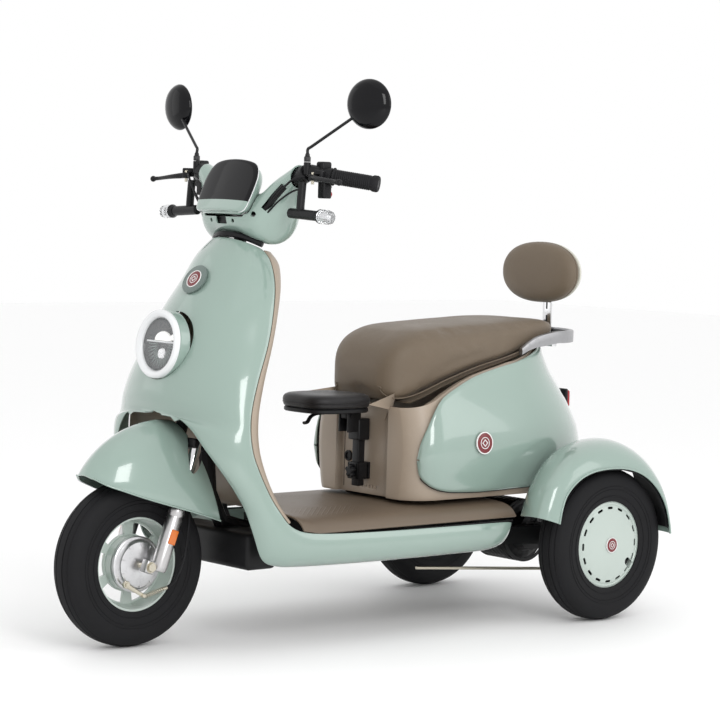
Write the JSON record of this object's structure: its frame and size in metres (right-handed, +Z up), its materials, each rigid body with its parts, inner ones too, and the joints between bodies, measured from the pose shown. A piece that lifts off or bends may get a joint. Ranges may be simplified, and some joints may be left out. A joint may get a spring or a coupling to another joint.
{
  "type": "electric three-wheel leisure scooter",
  "caption": "Step-through electric scooter with one steered front wheel, two driven rear wheels, a padded saddle with backrest and a small child seat over the foot deck.",
  "frame": {"origin": "on the ground under the middle of the scooter's overall length and width", "axes": "+X to the rider's left, -Y the way the scooter faces, +Z up"},
  "size_m": [0.7968, 1.554, 1.2607],
  "materials": {
    "alloy": "machined and cast",
    "beige_plastic": "satin beige",
    "black_frame": "satin black paint",
    "black_plastic": "satin black",
    "cream_plastic": "gloss cream",
    "dark_leather": "smooth black",
    "gloss_black": "gloss black",
    "mint_paint": "gloss mint green",
    "rail_grey": "silver grey",
    "red_lens": "deep red",
    "steel": "plated",
    "taupe_leather": "smooth taupe",
    "tyre": "matt"
  },
  "bodies": {
    "chassis": {"frame": "black_frame", "leg_shield": "mint_paint", "inner_shield": "beige_plastic", "floor_board": "beige_plastic", "headlight": "gloss_black", "seat_box": "beige_plastic", "side_cover_left": "mint_paint", "side_cover_right": "mint_paint", "tail_light": "red_lens", "rear_fender_left": "mint_paint", "rear_fender_right": "mint_paint", "grab_rail": "rail_grey", "backrest_bracket": "steel", "backrest_cushion": "taupe_leather", "backrest_shell": "cream_plastic", "battery_pack": "black_plastic", "child_post_socket": "black_frame", "shock_left": "steel", "shock_right": "steel"},
    "steering": {"fork_crown": "black_frame", "handlebar": "black_frame", "headset_cover": "mint_paint", "dash_pod": "mint_paint", "dash_visor": "gloss_black", "left_grip": "black_plastic", "switch_pod_left": "black_plastic", "switch_pod_right": "black_plastic", "turn_signal_left": "black_plastic", "turn_signal_right": "black_plastic", "front_fender": "mint_paint"},
    "fork_slider": {"fork_lower": "alloy", "brake_backplate": "alloy"},
    "front_wheel": {"front_tyre": "tyre", "front_rim": "alloy"},
    "drum_arm": {"front_brake_arm": "steel"},
    "throttle": {"throttle_grip": "black_plastic"},
    "lever_left": {"brake_lever_left": "black_plastic"},
    "lever_right": {"brake_lever_right": "black_plastic"},
    "mirror_arm_left": {"mirror_stem_left": "black_plastic"},
    "mirror_arm_right": {"mirror_stem_right": "black_plastic"},
    "mirror_left": {"mirror_head_left": "black_plastic"},
    "mirror_right": {"mirror_head_right": "black_plastic"},
    "horn": {"horn_button": "black_plastic"},
    "indicator_slider": {"turn_switch": "rail_grey"},
    "key_barrel": {"ignition_barrel": "steel"},
    "rear_swing": {"swing_arm": "black_frame", "drive_motor": "black_frame"},
    "rear_wheel_left": {"rear_tyre_left": "tyre", "rear_rim_left": "alloy"},
    "rear_wheel_right": {"rear_tyre_right": "tyre", "rear_rim_right": "alloy"},
    "seat": {"seat_cushion": "taupe_leather", "seat_base": "black_plastic"},
    "child_column": {"child_post": "black_frame"},
    "child_seat": {"child_seat_base": "black_plastic", "child_seat_cushion": "dark_leather"},
    "child_latch": {"child_seat_latch": "black_plastic"},
    "post_clamp": {"clamp_knob": "black_plastic"},
    "foot_brake": {"brake_pedal": "black_frame"},
    "foot_brake_rod": {"brake_rod": "steel"}
  },
  "joints": [
    {"name": "steering_turn", "type": "hinge", "parent": "chassis", "child": "steering", "pos_m": [0, -0.46189, 0.46691], "axis": [0, 0.342, 0.9397], "range_deg": [-35, 35]},
    {"name": "fork_travel", "type": "slide", "parent": "steering", "child": "fork_slider", "axis": [0, 0.342, 0.9397], "range_m": [0, 0.04], "stiffness_N_per_m": 9000, "springref_m": -0.05},
    {"name": "front_wheel_spin", "type": "hinge", "parent": "fork_slider", "child": "front_wheel", "pos_m": [0, -0.5925, 0.185], "axis": [1, 0, 0], "continuous": true},
    {"name": "drum_arm_pull", "type": "hinge", "parent": "fork_slider", "child": "drum_arm", "pos_m": [0.0466, -0.6345, 0.146], "axis": [1, 0, 0], "range_deg": [0, 15]},
    {"name": "throttle_twist", "type": "hinge", "parent": "steering", "child": "throttle", "pos_m": [-0.24139, -0.23769, 1.04768], "axis": [-0.7902, 0.5973, -0.1373], "range_deg": [0, 70], "stiffness_Nm_per_rad": 0.2, "springref_deg": -17.19},
    {"name": "brake_lever_left_pull", "type": "hinge", "parent": "steering", "child": "lever_left", "pos_m": [0.232, -0.288, 1.044], "axis": [0, 0, 1], "range_deg": [0, 9], "stiffness_Nm_per_rad": 0.8, "springref_deg": -17.19},
    {"name": "brake_lever_right_pull", "type": "hinge", "parent": "steering", "child": "lever_right", "pos_m": [-0.232, -0.288, 1.044], "axis": [0, 0, -1], "range_deg": [0, 9], "stiffness_Nm_per_rad": 0.8, "springref_deg": -17.19},
    {"name": "mirror_left_swing", "type": "hinge", "parent": "steering", "child": "mirror_arm_left", "pos_m": [0.203, -0.2805, 1.0786], "axis": [0, 0, 1], "range_deg": [-30, 30]},
    {"name": "mirror_left_tilt", "type": "hinge", "parent": "mirror_arm_left", "child": "mirror_left", "pos_m": [0.311, -0.2445, 1.176], "axis": [1, 0, 0], "range_deg": [-10, 10]},
    {"name": "mirror_right_swing", "type": "hinge", "parent": "steering", "child": "mirror_arm_right", "pos_m": [-0.203, -0.2805, 1.0786], "axis": [0, 0, 1], "range_deg": [-30, 30]},
    {"name": "mirror_right_tilt", "type": "hinge", "parent": "mirror_arm_right", "child": "mirror_right", "pos_m": [-0.311, -0.2445, 1.176], "axis": [1, 0, 0], "range_deg": [-10, 10]},
    {"name": "horn_press", "type": "slide", "parent": "steering", "child": "horn", "axis": [0, -1, 0], "range_m": [0, 0.0025], "stiffness_N_per_m": 900, "springref_m": -0.001},
    {"name": "indicator_slide", "type": "slide", "parent": "steering", "child": "indicator_slider", "axis": [1, 0, 0], "range_m": [-0.003, 0.003]},
    {"name": "key_turn", "type": "hinge", "parent": "chassis", "child": "key_barrel", "pos_m": [-0.045, -0.2365, 0.8], "axis": [0, -1, 0], "range_deg": [0, 90]},
    {"name": "swing_travel", "type": "hinge", "parent": "chassis", "child": "rear_swing", "pos_m": [0, 0.3095, 0.205], "axis": [1, 0, 0], "range_deg": [0, 5], "stiffness_Nm_per_rad": 1200, "springref_deg": -8.59, "deforming": ["shock_left", "shock_right"]},
    {"name": "rear_wheel_left_spin", "type": "hinge", "parent": "rear_swing", "child": "rear_wheel_left", "pos_m": [0.31, 0.5795, 0.185], "axis": [1, 0, 0], "continuous": true},
    {"name": "rear_wheel_right_spin", "type": "hinge", "parent": "rear_swing", "child": "rear_wheel_right", "pos_m": [-0.31, 0.5795, 0.185], "axis": [1, 0, 0], "continuous": true},
    {"name": "seat_open", "type": "hinge", "parent": "chassis", "child": "seat", "pos_m": [0, 0.0595, 0.5475], "axis": [1, 0, 0], "range_deg": [0, 60]},
    {"name": "child_post_slide", "type": "slide", "parent": "chassis", "child": "child_column", "axis": [0, 0, 1], "range_m": [-0.02, 0.02]},
    {"name": "child_seat_fold", "type": "hinge", "parent": "child_column", "child": "child_seat", "pos_m": [0, 0.0275, 0.49], "axis": [1, 0, 0], "range_deg": [0, 75]},
    {"name": "child_latch_press", "type": "hinge", "parent": "child_seat", "child": "child_latch", "pos_m": [0, -0.0665, 0.496], "axis": [1, 0, 0], "range_deg": [-15, 0], "stiffness_Nm_per_rad": 0.1, "springref_deg": 11.46},
    {"name": "post_clamp_turn", "type": "hinge", "parent": "chassis", "child": "post_clamp", "pos_m": [0, 0.0489, 0.357], "axis": [0, -1, 0], "range_deg": [-180, 180]},
    {"name": "foot_brake_press", "type": "hinge", "parent": "chassis", "child": "foot_brake", "pos_m": [-0.15, -0.1425, 0.18], "axis": [1, 0, 0], "range_deg": [0, 12], "stiffness_Nm_per_rad": 8, "springref_deg": -11.46},
    {"name": "foot_brake_rod_pull", "type": "slide", "parent": "chassis", "child": "foot_brake_rod", "axis": [0, 1, 0], "range_m": [0, 0.0096]}
  ],
  "couplings": [
    {"joint": "drum_arm_pull", "follows": "brake_lever_right_pull", "ratio": 1.3},
    {"joint": "foot_brake_rod_pull", "follows": "foot_brake_press", "m_per_rad": 0.045}
  ]
}
